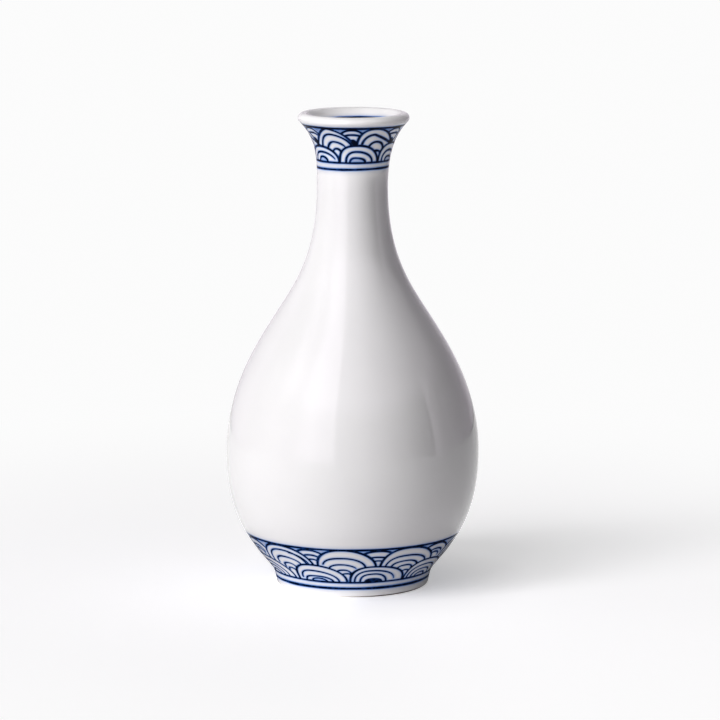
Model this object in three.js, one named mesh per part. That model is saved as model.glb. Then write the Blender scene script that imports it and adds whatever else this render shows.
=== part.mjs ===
import * as THREE from "three";

// A porcelain sake bottle: a round belly on a low foot ring, a long slender neck and a flared
// mouth with a rolled lip. It is made as the potter makes it, in five round sections that are
// luted together at flat seams before firing: foot ring, bowl, shoulder, neck and mouth.
// Millimetres, +Z up. The origin is the centre of the standing rim.

// Heights of the five sections, stacked from the standing surface up
const FOOT_HEIGHT = 4.2;
const BOWL_HEIGHT = 38.6;
const SHOULDER_HEIGHT = 44.1;
const NECK_HEIGHT = 39.8;
const MOUTH_HEIGHT = 23.3;

// Outside diameters, at the seams and where the form turns
const FOOT_BOTTOM_DIAMETER = 48.2;
const FOOT_TOP_DIAMETER = 49.8;
const BELLY_DIAMETER = 80;
const NECK_ROOT_DIAMETER = 47.6;
const NECK_DIAMETER = 22.3;
const LIP_DIAMETER = 35;

// Thickness of the clay
const WALL = 3.2;
const FLOOR_THICKNESS = 4.4;
const LIP_THICKNESS = 3.7;
const LIP_DEPTH = 3.3;

// Foot ring and the turned recess under the floor
const FOOT_RIM_WIDTH = 3.6;
const FOOT_SEAT_WIDTH = 5.2;
const FOOT_EDGE_RADIUS = 0.8;
const RECESS_DEPTH = 0.8;
const FLOOR_CORNER_HEIGHT = 6;

// Directions of the outline, in degrees above the horizontal
const BOWL_START_ANGLE = 64.4;
const SHOULDER_LEAN_ANGLE = 57.6;
const MOUTH_FLARE_ANGLE = 46;

// How far each curve runs on along its end direction, as shares of its section's height
const BOWL_REACH = { low: 0.165, high: 0.678 };
const SHOULDER_REACH = { low: 0.449, high: 0.229 };
const NECK_REACH = { low: 0.271, high: 0.533 };
const MOUTH_REACH = { low: 0.42, high: 0.37 };

// Steps that each form is divided into
const ROUND_STEPS = 64;
const BOWL_STEPS = 9;
const SHOULDER_STEPS = 9;
const NECK_STEPS = 8;
const MOUTH_STEPS = 7;
const LIP_STEP_ANGLE = 18;
const EDGE_STEPS = 3;
const CORNER_STEPS = 3;

const UP = new THREE.Vector2(0, 1);

// The seams: each is one flat ring that the section below and the section above share
const bellyRadius = BELLY_DIAMETER / 2;
const neckRadius = NECK_DIAMETER / 2;
const neckRootRadius = NECK_ROOT_DIAMETER / 2;
const footSeam = {
  height: FOOT_HEIGHT,
  outside: FOOT_TOP_DIAMETER / 2,
  inside: FOOT_TOP_DIAMETER / 2 - FOOT_SEAT_WIDTH,
};
const bellySeam = {
  height: footSeam.height + BOWL_HEIGHT,
  outside: bellyRadius,
  inside: bellyRadius - WALL,
};
const rootSeam = {
  height: bellySeam.height + SHOULDER_HEIGHT,
  outside: neckRootRadius,
  inside: neckRootRadius - WALL / Math.sin(THREE.MathUtils.degToRad(SHOULDER_LEAN_ANGLE)),
};
const neckSeam = {
  height: rootSeam.height + NECK_HEIGHT,
  outside: neckRadius,
  inside: neckRadius - WALL,
};
const rimHeight = neckSeam.height + MOUTH_HEIGHT;
const floorHeight = footSeam.height + RECESS_DEPTH + FLOOR_THICKNESS;

// A direction in the outline, from its angle above the horizontal
function direction(degrees) {
  const angle = THREE.MathUtils.degToRad(degrees);
  return new THREE.Vector2(Math.cos(angle), Math.sin(angle));
}

const outsidePoint = (seam) => new THREE.Vector2(seam.outside, seam.height);
const insidePoint = (seam) => new THREE.Vector2(seam.inside, seam.height);

// A smooth rising stretch of outline that leaves and arrives in the given directions
function stretch(start, startDirection, end, endDirection, reach) {
  const rise = end.y - start.y;
  return new THREE.CubicBezierCurve(
    start,
    start.clone().addScaledVector(startDirection, reach.low * rise),
    end.clone().addScaledVector(endDirection, -reach.high * rise),
    end,
  );
}

// The point of the inner wall that lies square behind a point of the outer wall
function behind(curve, share) {
  const along = curve.getTangent(share);
  return curve.getPoint(share).add(new THREE.Vector2(-along.y, along.x).multiplyScalar(WALL));
}

// The inner wall between two seams, from the upper seam down to the lower one
function innerWall(curve, steps, lowSeam, highSeam) {
  const line = [insidePoint(highSeam)];
  for (let step = steps - 1; step > 0; step -= 1) {
    const point = behind(curve, step / steps);
    if (point.y > lowSeam.height && point.y < highSeam.height) line.push(point);
  }
  line.push(insidePoint(lowSeam));
  return line;
}

// Points on an arc of an ellipse, from one angle to another in degrees
function arc(centre, halfWidth, halfHeight, startDegrees, endDegrees, steps) {
  const points = [];
  for (let step = 0; step <= steps; step += 1) {
    const angle = THREE.MathUtils.lerp(startDegrees, endDegrees, step / steps);
    const reach = direction(angle);
    points.push(new THREE.Vector2(centre.x + halfWidth * reach.x, centre.y + halfHeight * reach.y));
  }
  return points;
}

// The rolled lip, from the outside of the flare past its widest place and its crest to the inside
function lipRoll(centre, halfWidth, halfHeight, meeting) {
  const stops = [-meeting, 0, 90, 180 - meeting];
  return stops.slice(1).flatMap((stop, index) => {
    const steps = Math.round((stop - stops[index]) / LIP_STEP_ANGLE);
    const turn = arc(centre, halfWidth, halfHeight, stops[index], stop, steps);
    return index === 0 ? turn : turn.slice(1);
  });
}

// The ring that the bottle stands on, tapering a little towards its flat rim
function footRingOutline() {
  const rimOutside = FOOT_BOTTOM_DIAMETER / 2;
  const rimInside = rimOutside - FOOT_RIM_WIDTH;
  const edge = FOOT_EDGE_RADIUS;
  const innerEdge = arc(new THREE.Vector2(rimInside + edge, edge), edge, edge, 180, 270, EDGE_STEPS);
  const outerEdge = arc(new THREE.Vector2(rimOutside - edge, edge), edge, edge, 270, 360, EDGE_STEPS);
  const outline = [insidePoint(footSeam), ...innerEdge, ...outerEdge, outsidePoint(footSeam)];
  outline.push(outline[0].clone());
  return outline;
}

// The rounded corner between the bowl's inner wall and its floor, then the floor to the axis
function bowlFloor(wallEnd, wallDirection) {
  const slide = (wallEnd.y - floorHeight) / wallDirection.y;
  const corner = wallEnd.clone().addScaledVector(wallDirection, -slide);
  const floorEnd = new THREE.Vector2(corner.x - slide, floorHeight);
  const turn = new THREE.QuadraticBezierCurve(wallEnd, corner, floorEnd);
  return [...turn.getPoints(CORNER_STEPS).slice(1), new THREE.Vector2(0, floorHeight)];
}

// The lower half of the belly, with the floor and the shallow recess turned under it
function bowlOutline() {
  const outer = stretch(
    outsidePoint(footSeam),
    direction(BOWL_START_ANGLE),
    outsidePoint(bellySeam),
    UP,
    BOWL_REACH,
  );
  const recessCentre = new THREE.Vector2(footSeam.inside - RECESS_DEPTH, footSeam.height);
  const recess = arc(recessCentre, RECESS_DEPTH, RECESS_DEPTH, 90, 0, EDGE_STEPS);
  const underside = [new THREE.Vector2(0, footSeam.height + RECESS_DEPTH), ...recess];

  const inner = [insidePoint(bellySeam)];
  let share = 1;
  for (let step = BOWL_STEPS - 1; step > 0; step -= 1) {
    const point = behind(outer, step / BOWL_STEPS);
    if (point.y < floorHeight + FLOOR_CORNER_HEIGHT) break;
    inner.push(point);
    share = step / BOWL_STEPS;
  }
  const floor = bowlFloor(inner.at(-1), outer.getTangent(share));
  return [...underside, ...outer.getPoints(BOWL_STEPS), ...inner, ...floor];
}

// The upper half of the belly, closing in towards the root of the neck
function shoulderOutline() {
  const lean = direction(180 - SHOULDER_LEAN_ANGLE);
  const outer = stretch(outsidePoint(bellySeam), UP, outsidePoint(rootSeam), lean, SHOULDER_REACH);
  const outline = [
    ...outer.getPoints(SHOULDER_STEPS),
    ...innerWall(outer, SHOULDER_STEPS, bellySeam, rootSeam),
  ];
  outline.push(outline[0].clone());
  return outline;
}

// The neck, drawn up from the shoulder to its narrowest place
function neckOutline() {
  const lean = direction(180 - SHOULDER_LEAN_ANGLE);
  const outer = stretch(outsidePoint(rootSeam), lean, outsidePoint(neckSeam), UP, NECK_REACH);
  const outline = [
    ...outer.getPoints(NECK_STEPS),
    ...innerWall(outer, NECK_STEPS, rootSeam, neckSeam),
  ];
  outline.push(outline[0].clone());
  return outline;
}

// The flared mouth, whose wall swells into a rolled lip
function mouthOutline() {
  const halfWidth = LIP_THICKNESS / 2;
  const halfHeight = LIP_DEPTH / 2;
  const lipCentre = new THREE.Vector2(LIP_DIAMETER / 2 - halfWidth, rimHeight - halfHeight);
  const flare = direction(MOUTH_FLARE_ANGLE);
  const meeting = THREE.MathUtils.radToDeg(Math.atan2(halfHeight * flare.x, halfWidth * flare.y));
  const lip = lipRoll(lipCentre, halfWidth, halfHeight, meeting);
  const outer = stretch(outsidePoint(neckSeam), UP, lip[0], flare, MOUTH_REACH);
  const inner = stretch(insidePoint(neckSeam), UP, lip.at(-1), flare, MOUTH_REACH);
  const outline = [
    ...outer.getPoints(MOUTH_STEPS),
    ...lip.slice(1, -1),
    ...inner.getPoints(MOUTH_STEPS).reverse(),
  ];
  outline.push(outline[0].clone());
  return outline;
}

// Turns an outline about the bottle's axis into one named section with its own glaze
function section(name, outline, color, roughness) {
  const geometry = new THREE.LatheGeometry(outline, ROUND_STEPS);
  geometry.rotateX(Math.PI / 2);
  const material = new THREE.MeshStandardMaterial({ color, roughness, metalness: 0 });
  const mesh = new THREE.Mesh(geometry, material);
  mesh.name = name;
  return mesh;
}

const bottle = new THREE.Group();
bottle.add(section("foot_ring", footRingOutline(), 0xd9d3cb, 0.45));
bottle.add(section("bowl", bowlOutline(), 0xe9e7ea, 0.12));
bottle.add(section("shoulder", shoulderOutline(), 0xebe9ec, 0.12));
bottle.add(section("neck", neckOutline(), 0xebe9ec, 0.12));
bottle.add(section("mouth", mouthOutline(), 0xe6e4e9, 0.14));

export default bottle;
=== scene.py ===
"""Looks of a porcelain sake bottle, turned round its axis and painted with waves in underglaze cobalt.

Each of the bottle's five sections is a closed turned solid that stands for the CAD section of the
same place. The two wave bands are painted stroke by stroke on the unrolled skin and carried by
attributes of the mesh. Lengths are in metres, written as millimetres times MM, but the heights of
strokes, rings and bands are plain millimetres. Azimuths are in degrees round the bottle, from its
front, growing to the right.
"""

import logging
import math
from dataclasses import dataclass
from enum import Enum

import bmesh
import bpy
import numpy as np
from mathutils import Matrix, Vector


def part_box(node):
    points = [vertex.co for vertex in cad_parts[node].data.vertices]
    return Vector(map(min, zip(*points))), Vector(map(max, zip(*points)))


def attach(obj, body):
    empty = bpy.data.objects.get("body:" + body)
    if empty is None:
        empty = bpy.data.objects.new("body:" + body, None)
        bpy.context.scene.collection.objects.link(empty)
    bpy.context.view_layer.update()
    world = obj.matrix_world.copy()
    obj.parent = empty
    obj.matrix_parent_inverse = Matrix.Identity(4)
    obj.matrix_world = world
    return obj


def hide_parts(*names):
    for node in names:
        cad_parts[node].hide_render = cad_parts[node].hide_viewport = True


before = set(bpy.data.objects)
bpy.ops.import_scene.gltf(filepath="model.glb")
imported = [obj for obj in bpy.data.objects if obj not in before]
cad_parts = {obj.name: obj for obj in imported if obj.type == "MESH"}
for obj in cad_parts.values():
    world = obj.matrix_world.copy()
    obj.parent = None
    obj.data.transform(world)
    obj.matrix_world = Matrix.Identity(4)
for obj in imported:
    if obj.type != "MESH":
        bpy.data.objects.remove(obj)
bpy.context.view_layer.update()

log = logging.getLogger("sake_bottle")

MM = 0.001

# Short names of types
Numbers = float | np.ndarray
Socket = bpy.types.NodeSocket
Value = Socket | float | tuple

# Wall, floor and foot of the clay body
WALL = 3.2 * MM
FLOOR_THICKNESS = 4.4 * MM
FLOOR_CORNER_HEIGHT = 6 * MM
RECESS_DEPTH = 0.8 * MM
FOOT_EDGE_RADIUS = 0.8 * MM
FOOT_FILLET = 1.1 * MM

# Rolled lip
LIP_THICKNESS = 3.7 * MM
LIP_DEPTH = 3.3 * MM

# Directions of the outline, in degrees above the horizontal
BOWL_START_ANGLE = 64.4
SHOULDER_LEAN_ANGLE = 57.6
MOUTH_FLARE_ANGLE = 46.0

# How far each curve runs on along its end directions, as shares of its section's height
BOWL_REACH = (0.165, 0.678)
SHOULDER_REACH = (0.449, 0.229)
NECK_REACH = (0.271, 0.533)
MOUTH_REACH = (0.42, 0.37)

# Spacing of the mesh along the outline, and steps round the axis
PAINTED_STEP = 0.27 * MM
OUTER_STEP = 1.0 * MM
INNER_STEP = 1.8 * MM
FLAT_STEP = 4 * INNER_STEP
EDGE_STEP = 0.15 * MM
LIP_STEP = 0.35 * MM
PAINTED_TURN_STEPS = 600
COLLAR_TURN_STEPS = 440
PLAIN_TURN_STEPS = 320

# Walls are first traced this finely, and then spaced as each piece needs
TRACE_STEP = 0.02 * MM

# Points closer than this are one, and an edge that turns by more degrees than this is sharp
SAME_PLACE = 0.001 * MM
SHARP_TURN = 50.0


class Slot(Enum):
    """The record's material slots."""

    GLAZED = "glazed_porcelain"
    FOOT = "foot_porcelain"


def direction(degrees: float) -> np.ndarray:
    """The unit vector (outwards, upwards) at an angle above the horizontal."""
    angle = math.radians(degrees)
    return np.array([math.cos(angle), math.sin(angle)])


UP = direction(90)


@dataclass(frozen=True)
class Seam:
    """A flat ring where two sections of the bottle were luted together."""

    height: float
    outside: float
    inside: float

    @property
    def outer_point(self) -> np.ndarray:
        """The seam's outer edge in the outline's plane."""
        return np.array([self.outside, self.height])

    @property
    def inner_point(self) -> np.ndarray:
        """The seam's inner edge in the outline's plane."""
        return np.array([self.inside, self.height])


def flat_ring(node: str, on_top: bool) -> Seam:
    """Reads the flat ring at one end of a CAD section.

    Args:
        node: the CAD node's name.
        on_top: the ring is at the section's top, and otherwise at its bottom.

    Returns:
        The ring's height and its two radii.
    """
    low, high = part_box(node)
    height = high.z if on_top else low.z
    corners = [v.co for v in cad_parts[node].data.vertices]
    radii = [math.hypot(c.x, c.y) for c in corners if abs(c.z - height) < SAME_PLACE]
    return Seam(height, max(radii), min(radii))


def stretch(
    start: np.ndarray, leaving: np.ndarray, end: np.ndarray, arriving: np.ndarray, reach: tuple[float, float]
) -> np.ndarray:
    """A smooth rising stretch of outline, one cubic curve between two points.

    Args:
        start: the lower end.
        leaving: the direction in which the curve leaves it.
        end: the upper end.
        arriving: the direction in which the curve arrives there.
        reach: how far it runs on along each direction, as shares of its rise.

    Returns:
        Points along the curve, a row each.
    """
    rise = end[1] - start[1]
    first = start + leaving * reach[0] * rise
    second = end - arriving * reach[1] * rise
    share = np.linspace(0, 1, math.ceil(2 * rise / TRACE_STEP))[:, None]
    rest = 1 - share
    return rest**3 * start + 3 * rest**2 * share * first + 3 * rest * share**2 * second + share**3 * end


def bend(start: np.ndarray, corner: np.ndarray, end: np.ndarray) -> np.ndarray:
    """Rounds a corner with one quadratic curve.

    Args:
        start: where the rounding starts.
        corner: the sharp corner.
        end: where the rounding ends.

    Returns:
        Points along the curve, a row each.
    """
    length = np.linalg.norm(corner - start) + np.linalg.norm(end - corner)
    share = np.linspace(0, 1, math.ceil(length / TRACE_STEP))[:, None]
    rest = 1 - share
    return rest**2 * start + 2 * rest * share * corner + share**2 * end


def arc(centre: np.ndarray, halves: tuple[float, float], first: float, last: float) -> np.ndarray:
    """An arc of an upright ellipse.

    Args:
        centre: the ellipse's centre.
        halves: its half width and half height.
        first: the angle at which the arc starts, in degrees.
        last: the angle at which it ends, in degrees.

    Returns:
        Points along the arc, a row each.
    """
    length = math.radians(abs(last - first)) * max(halves)
    angles = np.radians(np.linspace(first, last, math.ceil(length / TRACE_STEP)))
    return centre + np.stack([halves[0] * np.cos(angles), halves[1] * np.sin(angles)], axis=1)


def line(start: np.ndarray, end: np.ndarray) -> np.ndarray:
    """Points on a straight line from start to end, a row each."""
    steps = math.ceil(np.linalg.norm(end - start) / TRACE_STEP)
    return start + (end - start) * np.linspace(0, 1, steps + 1)[:, None]


@dataclass(frozen=True)
class Wall:
    """One skin of the bottle in the outline's plane, traced finely from its lowest point upwards."""

    points: np.ndarray
    normals: np.ndarray

    @classmethod
    def through(cls, *parts: np.ndarray, faces_out: bool) -> "Wall":
        """Joins stretches of outline into one wall.

        Args:
            parts: the stretches, each starting where the last one ends.
            faces_out: the clay's surface looks away from the axis, and otherwise towards it.

        Returns:
            The wall, with the direction of its surface at each point.
        """
        points = np.concatenate(parts)
        apart = np.linalg.norm(np.diff(points, axis=0), axis=1) > SAME_PLACE
        points = points[np.concatenate([[True], apart])]
        along = np.gradient(points, axis=0)
        side = 1 if faces_out else -1
        normals = side * np.stack([along[:, 1], -along[:, 0]], axis=1)
        return cls(points, normals / np.linalg.norm(normals, axis=1)[:, None])

    @property
    def lengths(self) -> np.ndarray:
        """The length along the wall from its lowest point to each of its points."""
        steps = np.linalg.norm(np.diff(self.points, axis=0), axis=1)
        return np.concatenate([[0.0], np.cumsum(steps)])

    def length_at(self, height: Numbers) -> Numbers:
        """The length along the wall up to a height or an array of heights."""
        return np.interp(height, self.points[:, 1], self.lengths)

    def rows(self, low: float, *legs: tuple[float, float]) -> np.ndarray:
        """Takes evenly spaced points out of the wall.

        Args:
            low: the height at which they start.
            legs: for each leg upwards, the height at which it ends and the spacing of its points.

        Returns:
            Rows of radius, height and the two components of the surface's direction.
        """
        stations = [self.length_at(low)]
        for high, step in legs:
            start, end = stations[-1], self.length_at(high)
            stations.extend(np.linspace(start, end, max(2, math.ceil((end - start) / step) + 1))[1:])
        lengths = self.lengths
        columns = [*self.points.T, *self.normals.T]
        return np.stack([np.interp(stations, lengths, column) for column in columns], axis=1)


@dataclass(frozen=True)
class Body:
    """The bottle's whole outline: its seams and its three skins, worked out from the CAD sections."""

    foot_seam: Seam
    belly_seam: Seam
    root_seam: Seam
    neck_seam: Seam
    top: float
    floor: float
    outer: Wall
    inner: Wall
    under: Wall

    @classmethod
    def from_frame(cls) -> "Body":
        """Reads the seams from the CAD sections and draws the skins between them.

        Returns:
            The outline.
        """
        rim = flat_ring("foot_ring", on_top=False)
        foot_seam = flat_ring("foot_ring", on_top=True)
        belly_seam = flat_ring("bowl", on_top=True)
        root_seam = flat_ring("shoulder", on_top=True)
        neck_seam = flat_ring("neck", on_top=True)
        mouth_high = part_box("mouth")[1]
        lip_centre = np.array([mouth_high.x - LIP_THICKNESS / 2, mouth_high.z - LIP_DEPTH / 2])
        floor = foot_seam.height + RECESS_DEPTH + FLOOR_THICKNESS

        lean = direction(180 - SHOULDER_LEAN_ANGLE)
        flare = direction(MOUTH_FLARE_ANGLE)
        bowl_start = direction(BOWL_START_ANGLE)
        bowl = stretch(foot_seam.outer_point, bowl_start, belly_seam.outer_point, UP, BOWL_REACH)
        shoulder = stretch(belly_seam.outer_point, UP, root_seam.outer_point, lean, SHOULDER_REACH)
        neck = stretch(root_seam.outer_point, lean, neck_seam.outer_point, UP, NECK_REACH)
        meeting = math.degrees(math.atan2(LIP_DEPTH * flare[0], LIP_THICKNESS * flare[1]))
        halves = (LIP_THICKNESS / 2, LIP_DEPTH / 2)
        lip_outside = arc(lip_centre, halves, -meeting, 90)
        lip_inside = arc(lip_centre, halves, 180 - meeting, 90)
        mouth = stretch(neck_seam.outer_point, UP, lip_outside[0], flare, MOUTH_REACH)
        throat = stretch(neck_seam.inner_point, UP, lip_inside[0], flare, MOUTH_REACH)

        edge = FOOT_EDGE_RADIUS
        foot_edge = arc(np.array([rim.outside, edge]), (edge, edge), -90, 0)
        fillet_share = FOOT_FILLET / (foot_seam.height - edge)
        fillet_start = bowl[0] + (foot_edge[-1] - bowl[0]) * fillet_share
        past = np.linalg.norm(bowl - bowl[0], axis=1) > FOOT_FILLET
        fillet = bend(fillet_start, bowl[0], bowl[past][0])
        standing = line(foot_edge[-1], fillet_start)
        outer = Wall.through(
            foot_edge, standing, fillet, bowl[past], shoulder, neck, mouth, lip_outside, faces_out=True
        )

        clay = Wall.through(bowl, shoulder, neck, faces_out=True)
        behind = clay.points - WALL * clay.normals
        kept = behind[:, 1] > floor + FLOOR_CORNER_HEIGHT
        wall_end, wall_next = behind[kept][:2]
        fall = (wall_end - wall_next) / np.linalg.norm(wall_end - wall_next)
        slide = (wall_end[1] - floor) / -fall[1]
        corner = wall_end + fall * slide
        floor_end = corner - np.array([slide, 0])
        floor_corner = bend(floor_end, corner, wall_end)
        inner = Wall.through(floor_corner, behind[kept], throat, lip_inside, faces_out=False)

        inner_edge = arc(np.array([rim.inside, edge]), (edge, edge), 270, 180)
        under = Wall.through(inner_edge, line(inner_edge[-1], foot_seam.inner_point), faces_out=False)
        top = mouth_high.z
        return cls(foot_seam, belly_seam, root_seam, neck_seam, top, floor, outer, inner, under)


def level(start: float, end: float, height: float, looks_up: bool) -> np.ndarray:
    """A level stretch of outline.

    Args:
        start: the radius at which it starts.
        end: the radius at which it ends.
        height: its height.
        looks_up: the clay's surface looks up, and otherwise down.

    Returns:
        Rows of radius, height and the two components of the surface's direction.
    """
    radii = np.linspace(start, end, max(2, math.ceil(abs(end - start) / FLAT_STEP) + 1))
    up = 1.0 if looks_up else -1.0
    return np.stack([radii, np.full_like(radii, height), 0 * radii, 0 * radii + up], axis=1)


def turn(name: str, rows: np.ndarray, steps: int, closed: bool) -> bpy.types.Object:
    """Turns an outline about the bottle's axis into a closed solid.

    Args:
        name: the piece's name.
        rows: the outline, as rows of radius, height and the surface's direction.
        steps: how many steps the turn has.
        closed: the outline's end joins its start, and otherwise both ends lie on the axis.

    Returns:
        The piece, riding on the bottle's body.
    """
    bm = bmesh.new()
    heading = bm.verts.layers.float_vector.new("heading")
    corners = []
    for radius, height, outwards, upwards in rows:
        corner = bm.verts.new((radius, 0, height))
        corner[heading] = (outwards, 0, upwards)
        corners.append(corner)
    edges = [bm.edges.new(pair) for pair in zip(corners, corners[1:])]
    if closed:
        edges.append(bm.edges.new((corners[-1], corners[0])))
    bmesh.ops.spin(
        bm,
        geom=corners + edges,
        cent=(0, 0, 0),
        axis=(0, 0, 1),
        dvec=(0, 0, 0),
        angle=2 * math.pi,
        steps=steps,
        use_merge=True,
        use_normal_flip=False,
        use_duplicate=False,
    )
    bmesh.ops.remove_doubles(bm, verts=bm.verts, dist=SAME_PLACE)
    bmesh.ops.recalc_face_normals(bm, faces=bm.faces)
    mesh = bpy.data.meshes.new(name)
    bm.to_mesh(mesh)
    bm.free()
    shade_from_outline(mesh)
    piece = bpy.data.objects.new(name, mesh)
    bpy.context.scene.collection.objects.link(piece)
    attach(piece, "root")
    return piece


def read(items: bpy.types.bpy_prop_collection, name: str, width: int = 1, kind: type = float) -> np.ndarray:
    """Reads a property of all of a mesh's vertices, corners or faces.

    Args:
        items: the vertices, corners or faces, or the values of an attribute.
        name: the property's name.
        width: how many numbers it has.
        kind: what kind of number they are.

    Returns:
        The numbers, in rows where the property has more than one.
    """
    values = np.empty(len(items) * width, dtype=kind)
    items.foreach_get(name, values)
    return values.reshape(-1, width) if width > 1 else values


def read_headings(mesh: bpy.types.Mesh) -> np.ndarray:
    """The outline's surface directions at a mesh's vertices, as rows of outwards and upwards."""
    return read(mesh.attributes["heading"].data, "vector", 3)[:, [0, 2]]


def shade_from_outline(mesh: bpy.types.Mesh) -> None:
    """Gives each face corner the turned form's true normal, and at a sharp edge the face's own.

    Args:
        mesh: a turned mesh whose vertices carry the outline's directions.
    """
    mesh.shade_smooth()
    x, y, _ = read(mesh.vertices, "co", 3).T
    azimuths = np.arctan2(y, x)
    outwards, upwards = read_headings(mesh).T
    true = np.stack([outwards * np.cos(azimuths), outwards * np.sin(azimuths), upwards], axis=1)
    corner_counts = read(mesh.polygons, "loop_total", kind=int)
    own = np.repeat(read(mesh.polygons, "normal", 3), corner_counts, axis=0)
    normals = true[read(mesh.loops, "vertex_index", kind=int)]
    sharp = np.sum(normals * own, axis=1) < math.cos(math.radians(SHARP_TURN))
    normals[sharp] = own[sharp]
    mesh.normals_split_custom_set(normals)


# Brush strokes: their steps, how far off ink is measured and a ring's thin blue runs, how the hand
# wobbles in place, in width and in turns, and how much of its width a stroke loses at its end
STROKE_STEPS = 36
FAR_FROM_INK = 1.5 * MM
RING_BLEED = 0.55 * MM
STROKE_WOBBLE = 0.07 * MM
WIDTH_WOBBLE = 0.16
WOBBLE_TURNS = (0.6, 2.4)
TAPER = 0.6

# How many widths from its path a stroke is worked out
STROKE_REACH = 6

# How a ring's width trembles: by what share of it, how often in a turn, and from what angle
RING_TREMBLES = ((0.08, 5, 0), (0.06, 11, 1))


class Fill(Enum):
    """What the painter put inside a stroke's half oval."""

    BARE = 0
    WASH = 1
    INK = 2


@dataclass(frozen=True)
class Brush:
    """The widths of a wave's outline and inner strokes, and how strong the thin blue is.

    The blue lies inside a washed half oval, and in the corners over the waves.
    """

    outline: float
    inner: float
    washed_blue: float
    corner_blue: float


@dataclass(frozen=True)
class Stroke:
    """One brush stroke over half an oval, from its left foot over its crest to its right foot.

    Azimuths are in degrees from the middle of the wave's own field, heights in millimetres. A
    squareness of 2 draws an ellipse, and a larger one a squarer shoulder. The brush really touches
    only the share of the half oval between start and stop.
    """

    left: float
    crest_at: float
    right: float
    foot: float
    crest: float
    left_squareness: float = 2.6
    right_squareness: float = 2.0
    start: float = 0.0
    stop: float = 1.0
    weight: float = 1.0
    fill: Fill = Fill.BARE

    def sides(self, across: np.ndarray) -> tuple[np.ndarray, np.ndarray]:
        """Picks the half oval's shape on the side of its crest where each point lies.

        Args:
            across: less than nothing for a point to the left of the crest.

        Returns:
            The half oval's reach in degrees and its squareness, for each point.
        """
        on_left = across < 0
        reach = np.where(on_left, self.crest_at - self.left, self.right - self.crest_at)
        return reach, np.where(on_left, self.left_squareness, self.right_squareness)

    def path(self) -> np.ndarray:
        """Works out where the brush went.

        Returns:
            Rows of azimuth in degrees and height in metres.
        """
        angle = math.pi * (1 - np.linspace(self.start, self.stop, STROKE_STEPS))
        across, up = np.cos(angle), np.sin(angle)
        reach, squareness = self.sides(across)
        azimuth = self.crest_at + reach * np.sign(across) * np.abs(across) ** (2 / squareness)
        height = self.foot + (self.crest - self.foot) * np.abs(up) ** (2 / squareness)
        return np.stack([azimuth, height * MM], axis=1)

    def holds(self, azimuth: np.ndarray, height: np.ndarray) -> np.ndarray:
        """Tells which points lie under the half oval.

        Args:
            azimuth: the points' azimuths from the middle of the wave's field, in degrees.
            height: their heights, in metres.

        Returns:
            True for each point under it.
        """
        across = azimuth - self.crest_at
        reach, squareness = self.sides(across)
        up = np.clip((height / MM - self.foot) / (self.crest - self.foot), 0, None)
        return np.abs(across / reach) ** squareness + up**squareness < 1


# A wave's outline, and the strokes inside it
Wave = tuple[Stroke, ...]


@dataclass(frozen=True)
class Row:
    """A row of waves round the bottle, which takes its forms in turn."""

    count: int
    first_middle: float
    forms: tuple[Wave, ...]

    @property
    def middles(self) -> list[float]:
        """The azimuth of the middle of each wave's field."""
        return [self.first_middle + 360 / self.count * k for k in range(self.count)]


@dataclass(frozen=True)
class Ring:
    """A painted line all round the bottle, whose height drifts once round it.

    Its blue is how strong the thin blue is that ran out above it.
    """

    height: float
    width: float
    drift: float = 0.0
    highest_at: float = 0.0
    blue: float = 0.0


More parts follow.
